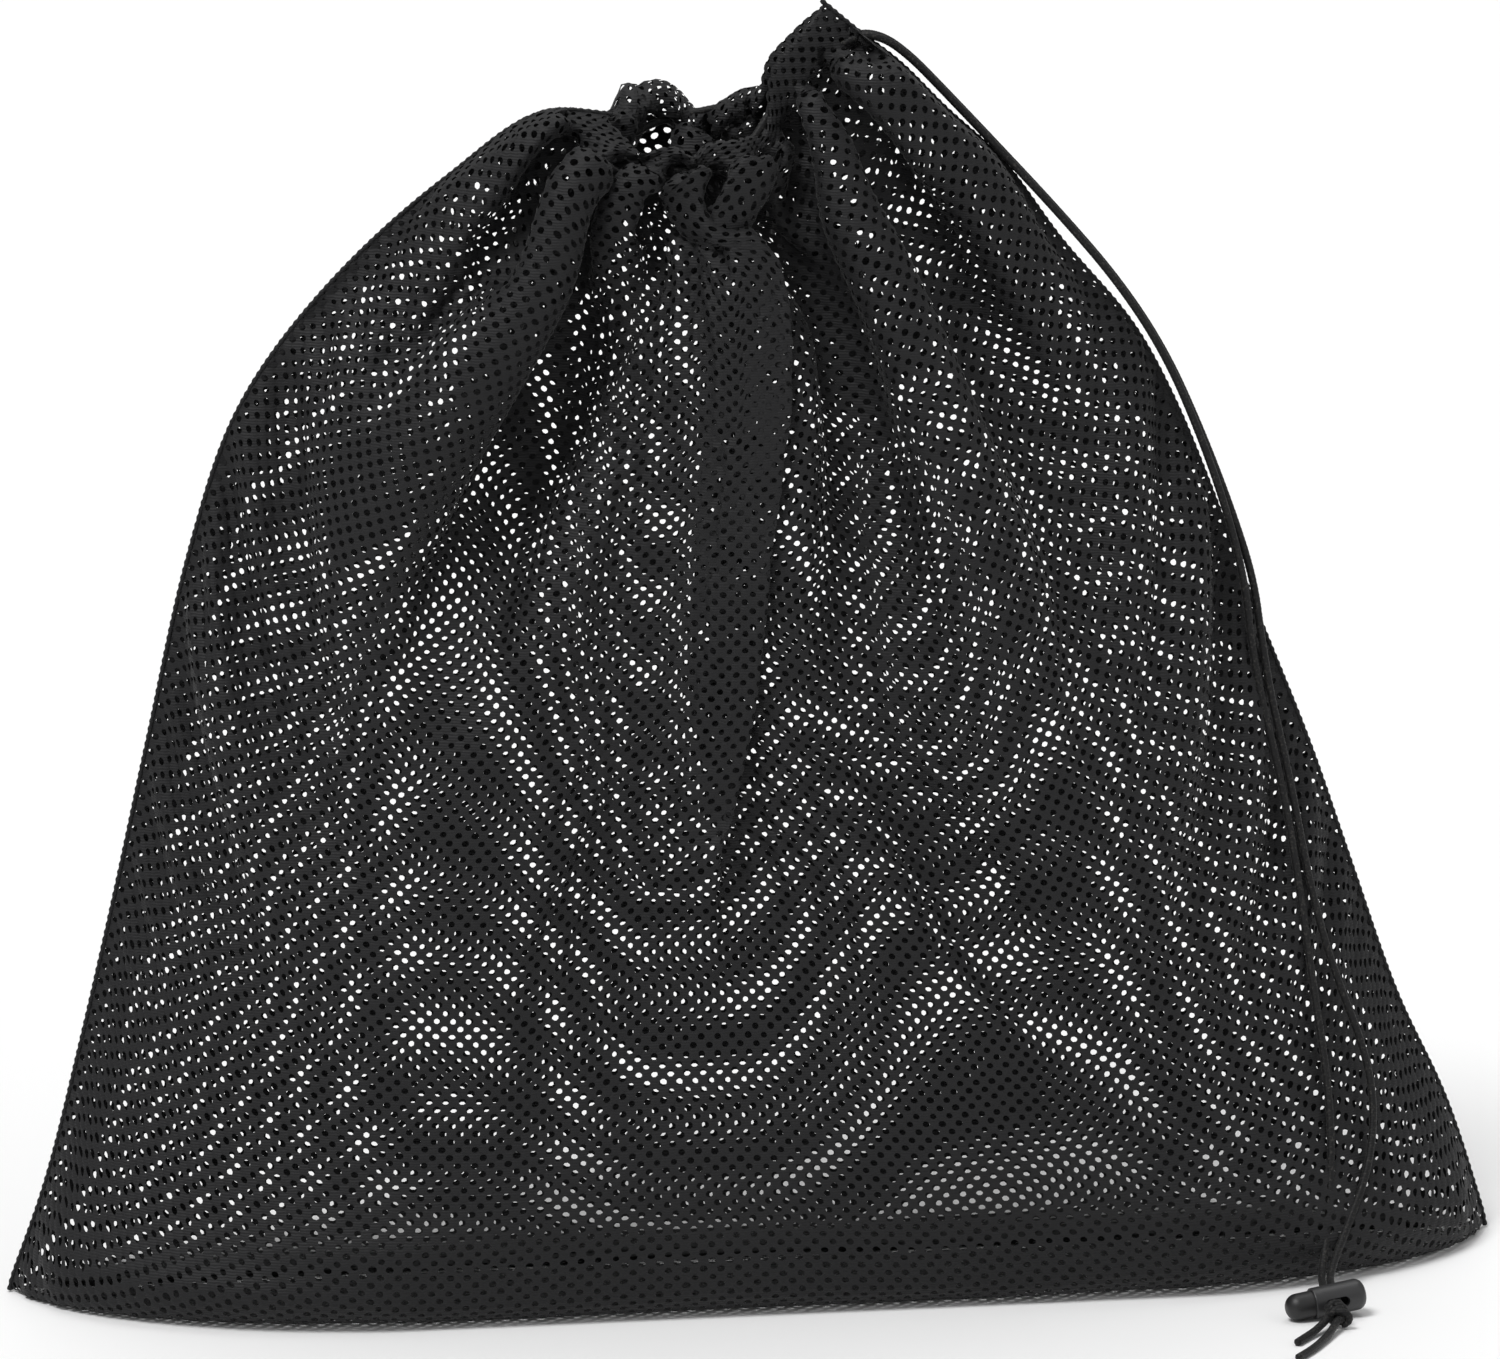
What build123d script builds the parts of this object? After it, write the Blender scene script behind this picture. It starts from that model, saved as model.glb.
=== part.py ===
from build123d import *

import math
import os

# Mesh laundry bag: a drawstring sack of open polyester mesh, standing on its base and half cinched.
# Millimetres. +X runs along the bag's width, -Y is the front, +Z is up, and the base rests on Z = 0.

# Cloth
CLOTH = 1.2                       # one layer of mesh, as a plain wall
PROFILE_POINTS = 9                # points along each half of a level's outline
RING_WALL = 6.0                   # gathered casing: two layers with the cord between them
EAR_HALF = 3.6                    # half thickness of the ungathered casing corner
ALLOWANCE = 17.0                  # width of the seam allowances inside
ALLOWANCE_HALF = 0.8              # half thickness of a sewn allowance
SEAM_INSET = 3.2                  # how far inside the side edge an allowance starts

# The standing bag level by level: height, left edge, right edge, depth, flatness, roundness.
# The outline is depth * (1 - |x| ** flatness) ** roundness, so the base is boxy and the shoulders pointed.
LEVELS = [
    (0.0, -305.0, 305.0, 75.0, 5.0, 0.70),
    (45.0, -289.0, 290.0, 77.0, 4.3, 0.76),
    (100.0, -275.0, 268.0, 76.0, 3.3, 0.86),
    (165.0, -260.0, 245.0, 73.0, 2.6, 0.95),
    (230.0, -246.0, 222.0, 68.0, 2.3, 1.00),
    (295.0, -231.0, 195.0, 61.0, 2.1, 1.00),
    (350.0, -214.0, 172.0, 53.0, 2.0, 1.00),
    (395.0, -188.0, 148.0, 44.0, 2.0, 1.00),
    (430.0, -155.0, 121.0, 36.0, 2.0, 1.00),
    (455.0, -127.0, 100.0, 30.0, 2.0, 1.00),
    (466.0, -62.0, 24.0, 27.5, 2.0, 1.00),
]
HALF_BLOCK = (800.0, 200.0, 1200.0)
SHOULDER = 440.0                  # above this the wall lies nearly flat, so its inside steps down

# Gathered mouth: an upright oval ring of casing, higher at the back, with one corner standing up
MOUTH_X = -19.0
RING_A = 36.0
RING_B = 25.0
RING_FOOT = 452.0
RIM_FRONT = 472.0
RIM_BACK = 486.0
RING_GAP = 0.1
EAR = [(29.0, 526.0), (49.5, 505.5), (27.0, 478.0), (13.0, 460.0), (-2.0, 470.0), (4.0, 500.0)]
RIGHT_FIN = [(99.0, 450.0), (101.0, 454.5), (50.4, 504.6), (28.0, 477.2), (18.2, 464.6), (18.2, 456.0)]
LEFT_FIN = [(-126.0, 450.0), (-127.0, 455.0), (-78.0, 485.0), (-56.0, 481.0), (-56.0, 456.0)]

# Draw cord
CORD = 3.2
CORD_R = CORD / 2
CHANNEL_CLEAR = 0.15
IN_CASING = [
    (34.0, -1.8, 505.6), (23.0, -2.2, 498.0), (9.0, -4.5, 484.5), (-2.0, -14.5, 470.5),
    (-19.5, -21.8, 462.0), (-37.5, -18.6, 462.5), (-50.0, -8.0, 465.0), (-50.8, 7.0, 469.0),
    (-38.0, 18.6, 473.0), (-19.5, 21.8, 476.0), (-2.5, 15.5, 480.5), (10.0, 5.2, 487.0),
    (23.0, 2.3, 498.0), (34.0, 1.8, 505.6),
]
STRAND_A = [
    (34.0, -1.8, 505.6), (43.0, -1.8, 511.8), (54.0, -2.0, 510.2), (65.0, -2.6, 501.8),
    (78.0, -3.4, 487.8), (98.0, -4.4, 465.8), (125.0, -5.2, 435.7), (150.0, -5.8, 405.4),
    (169.0, -6.2, 375.2), (183.5, -6.4, 341.0), (195.0, -7.0, 307.0), (201.8, -9.0, 278.0),
    (204.0, -12.0, 252.5), (207.8, -15.8, 230.0), (213.0, -19.2, 207.0), (217.2, -23.4, 184.0),
    (220.6, -28.0, 160.0), (223.6, -34.0, 133.0), (226.6, -41.8, 105.0), (229.4, -49.8, 79.5),
    (229.9, -56.6, 57.5), (228.4, -63.4, 38.0), (225.3, -73.0, 18.5), (219.9, -89.0, 7.4),
    (216.8, -132.4, 7.4),
]
STRAND_B = [
    (34.0, 1.8, 505.6), (43.0, 1.8, 511.8), (54.2, 1.5, 510.3), (65.2, 1.0, 502.0),
    (78.2, 0.2, 488.1), (98.2, -0.8, 466.1), (125.2, -1.6, 436.0), (150.4, -2.2, 405.7),
    (169.6, -2.6, 375.5), (184.6, -2.8, 341.3), (197.4, -3.2, 307.0), (206.0, -4.8, 279.0),
    (208.8, -8.6, 254.0), (212.0, -12.4, 231.5), (216.8, -16.6, 208.5), (221.0, -21.0, 185.5),
    (225.0, -25.6, 161.0), (230.6, -30.4, 135.0), (238.0, -34.2, 112.0), (245.4, -38.0, 92.0),
    (249.2, -43.4, 73.5), (248.4, -50.0, 55.5), (244.0, -57.4, 39.5), (236.0, -66.6, 25.0),
    (223.1, -89.2, 7.8), (220.1, -132.6, 7.8),
]
TAIL_A = [(214.0, -139.2, 5.0), (209.0, -145.2, 2.6), (203.2, -152.6, 1.9), (198.0, -160.0, 1.75)]
TAIL_B = [
    (217.6, -141.4, 4.5), (213.2, -150.6, 2.4), (207.2, -162.0, 1.9), (201.2, -172.6, 1.8),
    (194.6, -181.6, 1.75),
]
KNOT_AT = (218.3, -136.4, 6.0)
KNOT_RADII = (5.6, 6.2, 5.7)

# Cord lock: a barrel with a cross slot, and a domed plunger whose own slot pinches the cords
LOCK_AT = (219.2, -121.0, 7.6)
LOCK_YAW = 11.0
LOCK_PITCH = 6.5
BARREL_R = 6.4
BARREL_BORE = 5.6
BARREL_LEFT = -9.0
BARREL_RIGHT = 13.4
BARREL_END = 1.4                  # closed end wall
BARREL_ROUND = 3.6
RIM_ROUND = 0.5
SLOT_HALF = 5.3
SLOT_HEIGHT = 4.4
PLUNGER_R = 5.5
PLUNGER_LEFT = -20.2
PLUNGER_RIGHT = 7.0
PLUNGER_DOME = 4.9
PLUNGER_SLOT = (-8.2, 5.0)        # the slot's ends along the barrel, with the plunger out
SPRING_WIRE = 0.6
SPRING_R = 3.4
SPRING_PITCH = 1.25
SPRING_GAP = 0.35                 # left at each end for the wire's own thickness
PRESS_TRAVEL = 2.5


def outline(level, inset, drop):
    """Corner points of one level's front half, from the left edge to the right one."""
    height, left, right, depth, flatness, roundness = level
    centre = (left + right) / 2
    half = (right - left) / 2 - inset
    points = []
    for i in range(PROFILE_POINTS):
        x = -math.cos(math.pi * i / (PROFILE_POINTS - 1))
        y = (depth - inset) * (1 - abs(x) ** flatness) ** roundness
        points.append((centre + half * x, -y))
    return height - drop, points


def sack(inset, floor):
    """A closed sack through all the levels, moved in by inset, with its underside at floor."""
    with BuildPart() as body:
        for level in LEVELS:
            drop = inset * 1.1 if level[0] > SHOULDER else 0.0
            height, front = outline(level, inset, drop)
            back = [(x, -y) for x, y in reversed(front)]
            with BuildSketch(Plane.XY.offset(max(height, floor))):
                with BuildLine():
                    Spline(*front)
                    Spline(*back)
                make_face()
        loft(ruled=True)
    return body.part


def edge_x(height, side):
    """The left (1) or right (2) edge at a height."""
    for low, high in zip(LEVELS, LEVELS[1:]):
        if low[0] <= height <= high[0]:
            share = (height - low[0]) / (high[0] - low[0])
            return low[side] + share * (high[side] - low[side])
    raise ValueError(height)


def turn_radius(before, point, after):
    """The largest tangent arc that 0.45 of the shorter run leaves room for."""
    run_in = Vector(point) - Vector(before)
    run_out = Vector(after) - Vector(point)
    turn = math.radians(run_in.get_angle(run_out))
    return 0.45 * min(run_in.length, run_out.length) / math.tan(turn / 2)


def radii_of(route):
    return [turn_radius(*route[i - 1:i + 2]) for i in range(1, len(route) - 1)]


def tube(route, radius):
    """A round tube along straight runs joined by tangent arcs."""
    with BuildPart() as body:
        with BuildLine() as line:
            path = FilletPolyline(*route, radius=radii_of(route))
        with BuildSketch(Plane(origin=path @ 0, z_dir=path % 0)):
            Circle(radius)
        sweep(path=line.wire())
    return body.part, line.wire().length


def save(part, label):
    part.label = label
    export_step(part, f"parts/{label}.step")


os.makedirs("parts", exist_ok=True)

# Blocks that hold everything in front of and behind the seam plane
in_front = Pos(0, -HALF_BLOCK[1] / 2, HALF_BLOCK[2] / 4) * Box(*HALF_BLOCK)
behind = Pos(0, HALF_BLOCK[1] / 2, HALF_BLOCK[2] / 4) * Box(*HALF_BLOCK)

# Panels: the front and back halves of the sack, each with its half of the base
sack_outside = sack(0.0, 0.0)
sack_inside = sack(CLOTH, CLOTH)
with BuildPart() as mouth_hole:
    with BuildSketch(Plane.XY.offset(440)):
        with Locations((MOUTH_X, 0)):
            Ellipse(RING_A + RING_GAP, RING_B + RING_GAP)
    extrude(amount=80)


def panel(half):
    with BuildPart() as body:
        add(sack_outside)
        add(sack_inside, mode=Mode.SUBTRACT)
        for fin in (LEFT_FIN, RIGHT_FIN):
            with BuildSketch(Plane.XZ):
                with BuildLine():
                    Polyline(*fin, close=True)
                make_face()
            extrude(amount=CLOTH, both=True)
        add(mouth_hole.part, mode=Mode.SUBTRACT)
        add(ear_block.part, mode=Mode.SUBTRACT)
        add(half, mode=Mode.INTERSECT)
    return body.part


# Casing: the hem folded over the cord, gathered into a ring, with its corner standing at the right
with BuildPart() as ear_block:
    with BuildSketch(Plane.XZ):
        with BuildLine():
            Polyline(*EAR, close=True)
        make_face()
    extrude(amount=EAR_HALF, both=True)

with BuildPart() as casing:
    with BuildSketch(Plane.XY.offset(RING_FOOT)):
        with Locations((MOUTH_X, 0)):
            Ellipse(RING_A, RING_B)
    extrude(amount=RIM_BACK - RING_FOOT + 10)
    with BuildSketch(Plane.YZ.offset(-100)):
        with BuildLine():
            Polyline((-RING_B, RIM_FRONT), (RING_B, RIM_BACK), (60, RIM_BACK + 60),
                     (-60, RIM_BACK + 60), (-60, RIM_FRONT), close=True)
        make_face()
    extrude(amount=200, mode=Mode.SUBTRACT)
    add(ear_block.part)
    with BuildSketch(Plane.XY.offset(RING_FOOT)):
        with Locations((MOUTH_X, 0)):
            Ellipse(RING_A - RING_WALL, RING_B - RING_WALL)
    extrude(amount=80, mode=Mode.SUBTRACT)

channels = [tube(route, CORD_R + CHANNEL_CLEAR)[0] for route in (IN_CASING, STRAND_A[:4], STRAND_B[:4])]

for name, half in (("casing_front", in_front), ("casing_back", behind)):
    with BuildPart() as hem:
        add(casing.part)
        add(half, mode=Mode.INTERSECT)
        for channel in channels:
            add(channel, mode=Mode.SUBTRACT)
    save(hem.part, name)

save(panel(in_front), "front_panel")
save(panel(behind), "back_panel")

# Side seam allowances: flat double strips inside the side edges
for name, side, inward in (("left_side_seam", 1, 1), ("right_side_seam", 2, -1)):
    heights = [8.0] + [level[0] for level in LEVELS[1:-2]] + [446.0]
    outer = [(edge_x(h, side) + inward * SEAM_INSET * (2.4 if h < 20 else 1), h) for h in heights]
    inner = [(x + inward * ALLOWANCE, h) for x, h in reversed(outer)]
    with BuildPart() as strip:
        with BuildSketch(Plane.XZ):
            with BuildLine():
                Polyline(*outer, *inner, close=True)
            make_face()
        extrude(amount=ALLOWANCE_HALF, both=True)
    save(strip.part, name)

# Bottom seam allowance: a flat double strip lying on the inside of the base
with BuildPart() as bottom_seam:
    with BuildSketch(Plane.XY.offset(CLOTH)):
        with BuildLine():
            Polyline((-288, 0), (288, 0), (270, ALLOWANCE), (-270, ALLOWANCE), close=True)
        make_face()
    extrude(amount=2 * ALLOWANCE_HALF)
save(bottom_seam.part, "bottom_seam")

# Draw cord: the stretch inside the casing, the two free strands and the two cut tails
routes = {
    "cord_in_casing": IN_CASING,
    "cord_strand_a": STRAND_A,
    "cord_strand_b": STRAND_B,
    "cord_tail_a": TAIL_A,
    "cord_tail_b": TAIL_B,
}
for name, route in routes.items():
    cord, length = tube(route, CORD_R)
    section = math.pi * CORD_R ** 2
    radii = ", ".join(f"{r:.0f}" for r in radii_of(route))
    print(f"{name}: length {length:.0f}, volume / (section x length) {cord.volume / section / length:.4f}")
    print(f"  radii {radii}")
    save(cord, name)

# End knot: the lump of the overhand knot that keeps the lock on
knot_solid = Pos(*KNOT_AT) * scale(Sphere(1.0), by=KNOT_RADII)
save(knot_solid, "end_knot")

# Cord lock, in a frame whose X axis runs along the barrel and whose Y axis runs along the slot
yaw, pitch = math.radians(LOCK_YAW), math.radians(LOCK_PITCH)
along = Vector(math.cos(yaw) * math.cos(pitch), math.sin(yaw) * math.cos(pitch), math.sin(pitch))
across = Vector(-math.sin(yaw), math.cos(yaw), 0)
lock = Plane(origin=LOCK_AT, x_dir=along, z_dir=along.cross(across))


def turned(points, rounds):
    """A solid of revolution about the barrel's axis from its half profile."""
    with BuildPart() as body:
        with BuildSketch(Plane.XY) as profile:
            with BuildLine():
                Polyline(*points, close=True)
            make_face()
            for at, radius in rounds:
                corner = profile.vertices().sort_by_distance(at)[0]
                fillet(corner, radius)
        revolve(axis=Axis.X)
    return body.part


barrel_turned = turned(
    [(BARREL_LEFT, BARREL_BORE), (BARREL_LEFT, BARREL_R), (BARREL_RIGHT, BARREL_R), (BARREL_RIGHT, 0),
     (BARREL_RIGHT - BARREL_END, 0), (BARREL_RIGHT - BARREL_END, BARREL_BORE)],
    [((BARREL_LEFT, BARREL_R), RIM_ROUND), ((BARREL_RIGHT, BARREL_R), BARREL_ROUND)],
)
plunger_turned = turned(
    [(PLUNGER_LEFT, 0), (PLUNGER_LEFT, PLUNGER_R), (PLUNGER_RIGHT, PLUNGER_R), (PLUNGER_RIGHT, 0)],
    [((PLUNGER_LEFT, PLUNGER_R), PLUNGER_DOME), ((PLUNGER_RIGHT, PLUNGER_R), RIM_ROUND)],
)


def slotted(blank, left, right):
    """The blank with a rounded slot through it from front to back."""
    with BuildPart() as body:
        add(blank)
        with BuildSketch(Plane.XZ.offset(-20)):
            with Locations(((left + right) / 2, 0)):
                RectangleRounded(right - left, SLOT_HEIGHT, SLOT_HEIGHT / 2 - 0.05)
        extrude(amount=40, mode=Mode.SUBTRACT)
    return body.part


save(lock.location * slotted(barrel_turned, -SLOT_HALF, SLOT_HALF), "lock_barrel")
save(lock.location * slotted(plunger_turned, *PLUNGER_SLOT), "lock_plunger")

spring_room = BARREL_RIGHT - BARREL_END - PLUNGER_RIGHT - 2 * SPRING_GAP
with BuildPart() as spring:
    with BuildLine() as coil:
        Helix(pitch=SPRING_PITCH, height=spring_room, radius=SPRING_R)
    with BuildSketch(Plane(origin=coil.line @ 0, z_dir=coil.line % 0)):
        Circle(SPRING_WIRE / 2)
    sweep(is_frenet=True)
coil_plane = Plane(origin=(PLUNGER_RIGHT + SPRING_GAP, 0, 0), x_dir=(0, 1, 0), z_dir=(1, 0, 0))
save(lock.location * coil_plane.location * spring.part, "lock_spring")
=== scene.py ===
"""Looks of the mesh laundry bag: perforated cloth, gathered casing, draw cords, knot and cord lock."""
import math

import bmesh
import bpy
import numpy as np
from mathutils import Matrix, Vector


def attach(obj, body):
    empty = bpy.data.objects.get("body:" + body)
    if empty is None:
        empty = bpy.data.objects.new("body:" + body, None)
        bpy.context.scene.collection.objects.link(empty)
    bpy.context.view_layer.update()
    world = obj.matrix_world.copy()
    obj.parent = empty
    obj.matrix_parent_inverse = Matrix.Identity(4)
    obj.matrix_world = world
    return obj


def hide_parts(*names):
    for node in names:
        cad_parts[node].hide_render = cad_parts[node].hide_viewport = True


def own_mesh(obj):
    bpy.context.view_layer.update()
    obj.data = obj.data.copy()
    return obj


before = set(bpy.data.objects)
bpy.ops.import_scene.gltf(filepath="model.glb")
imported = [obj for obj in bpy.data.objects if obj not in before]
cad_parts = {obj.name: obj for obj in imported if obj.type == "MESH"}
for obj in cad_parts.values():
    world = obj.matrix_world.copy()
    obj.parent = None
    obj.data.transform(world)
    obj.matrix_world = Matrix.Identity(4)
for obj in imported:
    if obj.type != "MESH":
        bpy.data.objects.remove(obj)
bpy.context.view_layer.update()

MM = 0.001
rng = np.random.default_rng(11)

# Cloth, in millimetres
FRONT, BACK = -1, 1
CLOTH_WIDTH = 640.0               # one panel between its side seams
CLOTH_HEIGHT = 574.0              # one panel from the bottom seam to the top fold
WALL_MIDDLE = {FRONT: 472, BACK: 486}  # height of the wall's top half way between the seams
BASE_HALF = 304                   # half the bottom seam
HOLE_PITCH = 7.05                 # along a row of holes
ROW_PITCH = 3.2                   # from row to row, each shifted half a pitch
HOLE_HALF_WIDTH = 1.50
HOLE_HALF_HEIGHT = 1.18
HOLE_SQUARENESS = 2.5
RIDGE_UP = 0.42                   # the knit's crown between four holes
RIM_DOWN = 0.22                   # the hole's edge, turned in
FLOOR_GAP = 0.7
CASING = 22.0                     # from the row of stitches to the top fold
ALLOWANCE = 17.0
BAR_TACK = (27.6, 504.0)          # by the cord's way out of the ear: x, z

# Side seams as they stand, up from the floor: x, z
LEFT_SEAM = [
    (-305, 0), (-289, 45), (-275, 100), (-260, 165), (-246, 230), (-228, 310), (-209, 365),
    (-177, 410), (-123, 459), (-78, 485), (-56, 482),
]
RIGHT_SEAM = [
    (305, 0), (287, 56), (267, 100), (247, 158), (230, 208), (207, 267), (187, 322), (173, 356),
    (157, 386), (127, 423), (102, 458), (80, 479), (60, 500), (46, 511), (29, 526),
]
# The cross-section by height: depth in front, depth behind, flatness, roundness
SECTIONS = [
    (0, 70, 36, 5, .70), (12, 74, 47, 4.8, .71), (30, 76, 58, 4.6, .72), (60, 77, 68, 4.1, .78),
    (100, 76, 74, 3.3, .86), (165, 73, 73, 2.6, .95), (230, 68, 68, 2.3, 1), (295, 61, 61, 2.1, 1),
    (350, 53, 53, 2, 1), (395, 44, 44, 2, 1), (430, 36, 36, 2, 1), (455, 30, 30, 2, 1), (530, 24, 24, 2, 1),
]
# The top fold above the cord's line, left seam to right seam: share of the cloth's width, x, y, z
TOP_FRONT = [
    (0.00, -56, 0, 482), (0.07, -53, -7, 477), (0.14, -50.5, -12, 474), (0.22, -45.5, -16, 469.5),
    (0.31, -39, -18.5, 473), (0.40, -31, -20, 473), (0.46, -27, -20.5, 470.5), (0.54, -20, -19.5, 475),
    (0.62, -11, -17, 475.5), (0.70, -3, -12, 475), (0.76, 3, -8, 477), (0.80, 5, -6, 482), (0.86, 5, -4, 492),
    (0.90, 7, -3.2, 502), (0.95, 17, -2.4, 514), (1.00, 29, 0, 526),
]
TOP_BACK = [
    (0.00, -56, 0, 482), (0.06, -54.5, 5, 480), (0.13, -51, 10, 480), (0.21, -44, 16, 486),
    (0.29, -35, 20, 491), (0.36, -28, 21, 489), (0.42, -22, 20, 480.5), (0.49, -16, 19, 478),
    (0.57, -9, 16.5, 482.5), (0.65, -2, 13, 488), (0.72, 3, 9, 490), (0.80, 5, 6, 491), (0.86, 5, 4, 496),
    (0.90, 7, 3.2, 503), (0.95, 17, 2.4, 514), (1.00, 29, 0, 526),
]
# Hanging folds, each from its top down: height, x, how far it stands out (or in), width
FRONT_FOLDS = [
    [(474, -55, 7, 5), (452, -81, 12, 9), (430, -106, 14, 11), (405, -133, 14, 12), (385, -147, 13, 13),
     (350, -154, 11, 15), (305, -158, 8, 17), (240, -158, 4, 20), (180, -156, 0, 24)],
    [(470, -44, -6, 4), (450, -62, -11, 8), (425, -88, -13, 10), (395, -112, -13, 12), (350, -128, -10, 14),
     (300, -132, -6, 16), (240, -132, 0, 20)],
    [(470, -35, 8, 5), (452, -53, 11, 8), (432, -75, 11, 9), (405, -90, 9, 11), (360, -100, 6, 14),
     (310, -104, 0, 16)],
    [(462, -33, -6, 4), (447, -44, -10, 7), (425, -58, -10, 9), (395, -66, -7, 12), (350, -70, 0, 15)],
    [(452, -95, -7, 8), (425, -125, -8, 10), (390, -160, -7, 12), (340, -174, -5, 14), (280, -180, 0, 18)],
    [(450, -6, 8, 12), (420, -4, 13, 20), (380, -3, 15, 24), (330, -1, 13, 24), (270, 0, 9, 26),
     (215, 0, 4, 30), (150, 2, 0, 32)],
    [(450, 14, -8, 7), (410, 26, -12, 9), (360, 30, -13, 10), (300, 29, -9, 13), (240, 27, -3, 18),
     (190, 26, 0, 20)],
    [(452, 20, 8, 7), (425, 42, 10, 10), (385, 62, 9, 14), (330, 76, 6, 20), (250, 84, 0, 26)],
    [(450, 34, -6, 7), (415, 66, -8, 9), (375, 97, -8, 12), (320, 116, -5, 16), (260, 122, 0, 20)],
    [(400, -175, -4, 12), (350, -186, -6, 14), (290, -196, -4, 18), (220, -200, 0, 20)],
    [(250, 60, 0, 30), (180, 70, -6, 34), (110, 74, -5, 38), (50, 76, 0, 40)],
    [(250, -60, 0, 30), (180, -72, -6, 32), (100, -78, -6, 36), (40, -80, 0, 40)],
    [(220, 175, 0, 20), (160, 190, -5, 24), (90, 200, -4, 28), (40, 204, 0, 30)],
    [(240, -200, 0, 18), (170, -208, 4, 22), (90, -216, 4, 26), (30, -220, 0, 30)],
]
# A pleat laid over to the right in front: height, middle, how full it is
FRONT_PLEAT = [
    (100, -25, 0), (150, -25, 0.22), (205, -24, 0.6), (254, -22, 0.9), (320, -17, 1), (402, -9, 1),
    (440, -12, 0.7), (462, -14, 0),
]
PLEAT_REACH, PLEAT_LAP, PLEAT_DEPTH = 28.0, 27.0, 10.0
PRESSED = 0.3                     # how hard the pleat keeps its shape
# The same behind
BACK_FOLDS = [
    [(465, -36, 8, 8), (430, -62, 10, 12), (380, -98, 11, 17), (310, -118, 8, 22), (220, -124, 0, 28)],
    [(465, -20, -7, 8), (430, -30, -10, 12), (370, -48, -11, 17), (300, -55, -6, 22), (220, -58, 0, 26)],
    [(465, -4, 8, 9), (430, 4, 11, 14), (360, 10, 11, 20), (290, 14, 7, 26), (190, 16, 0, 30)],
    [(465, 12, -7, 7), (430, 36, -9, 11), (370, 60, -10, 16), (300, 74, -6, 22), (210, 80, 0, 28)],
    [(450, 40, 6, 8), (410, 78, 8, 13), (350, 108, 8, 18), (270, 126, 0, 24)],
    [(260, -20, 0, 36), (170, -30, -6, 40), (80, -34, -5, 44), (20, -36, 0, 44)],
    [(240, 150, 0, 26), (160, 160, 5, 30), (80, 168, 4, 34), (20, 170, 0, 36)],
]
GATHERS = [(6.3, 4.6, 0.62), (10.5, 2.4, 0.82), (3.2, 3.0, 0.42)]  # waves across, height, where they start
CORD_ROOM = 2.6                   # from the cord's line to each layer of the casing

# Draw cord: the same routes as the frame's, in millimetres
CORD = 3.2
IN_CASING = [
    (34.0, -1.8, 505.6), (23.0, -2.2, 498.0), (9.0, -4.5, 484.5), (-2.0, -14.5, 470.5),
    (-19.5, -21.8, 462.0), (-37.5, -18.6, 462.5), (-50.0, -8.0, 465.0), (-50.8, 7.0, 469.0),
    (-38.0, 18.6, 473.0), (-19.5, 21.8, 476.0), (-2.5, 15.5, 480.5), (10.0, 5.2, 487.0),
    (23.0, 2.3, 498.0), (34.0, 1.8, 505.6),
]
STRAND_A = [
    (34.0, -1.8, 505.6), (43.0, -1.8, 511.8), (54.0, -2.0, 510.2), (65.0, -2.6, 501.8),
    (78.0, -3.4, 487.8), (98.0, -4.4, 465.8), (125.0, -5.2, 435.7), (150.0, -5.8, 405.4),
    (169.0, -6.2, 375.2), (183.5, -6.4, 341.0), (195.0, -7.0, 307.0), (201.8, -9.0, 278.0),
    (204.0, -12.0, 252.5), (207.8, -15.8, 230.0), (213.0, -19.2, 207.0), (217.2, -23.4, 184.0),
    (220.6, -28.0, 160.0), (223.6, -34.0, 133.0), (226.6, -41.8, 105.0), (229.4, -49.8, 79.5),
    (229.9, -56.6, 57.5), (228.4, -63.4, 38.0), (225.3, -73.0, 18.5), (219.9, -89.0, 7.4),
    (218.6, -107.0, 7.4), (216.8, -132.4, 7.4),
]
STRAND_B = [
    (34.0, 1.8, 505.6), (43.0, 1.8, 511.8), (54.2, 1.5, 510.3), (65.2, 1.0, 502.0),
    (78.2, 0.2, 488.1), (98.2, -0.8, 466.1), (125.2, -1.6, 436.0), (150.4, -2.2, 405.7),
    (169.6, -2.6, 375.5), (184.6, -2.8, 341.3), (197.4, -3.2, 307.0), (206.0, -4.8, 279.0),
    (208.8, -8.6, 254.0), (212.0, -12.4, 231.5), (216.8, -16.6, 208.5), (221.0, -21.0, 185.5),
    (225.0, -25.6, 161.0), (230.6, -30.4, 135.0), (238.0, -34.2, 112.0), (245.4, -38.0, 92.0),
    (249.2, -43.4, 73.5), (248.4, -50.0, 55.5), (244.0, -57.4, 39.5), (236.0, -66.6, 25.0),
    (223.1, -89.2, 7.8), (221.9, -107.0, 7.8), (220.1, -132.6, 7.8),
]
TAIL_A = [(214.0, -139.2, 5.0), (209.0, -145.2, 2.6), (203.2, -152.6, 1.9), (198.0, -160.0, 1.75)]
TAIL_B = [
    (217.6, -141.4, 4.5), (213.2, -150.6, 2.4), (207.2, -162.0, 1.9), (201.2, -172.6, 1.8),
    (194.6, -181.6, 1.75),
]
KNOT_AT = (218.3, -136.4, 6.0)
LOCK_AT = (219.2, -121.0, 7.6)
LOCK_YAW = 11.0
LOCK_PITCH = 6.5
SPRING_FROM, SPRING_TO = 7.35, 11.65  # along the lock from its middle
SPRING_RADIUS, SPRING_TURNS, SPRING_POINTS = 3.4, 3.5, 160
WIRE_RADIUS = 0.3

# Camera
CAMERA_AZIMUTH = -9.0
CAMERA_ELEVATION = 15.0
CAMERA_AIM = (0.0, 0.0, 0.2441)
CAMERA_DISTANCE = 12.0
SEEN_WIDTH = 0.6073               # what the frame's width takes in at the bag
SENSOR_WIDTH = 36.0
FLOOR_HALF = 4000
WORLD_LIGHT = 0.34
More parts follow.
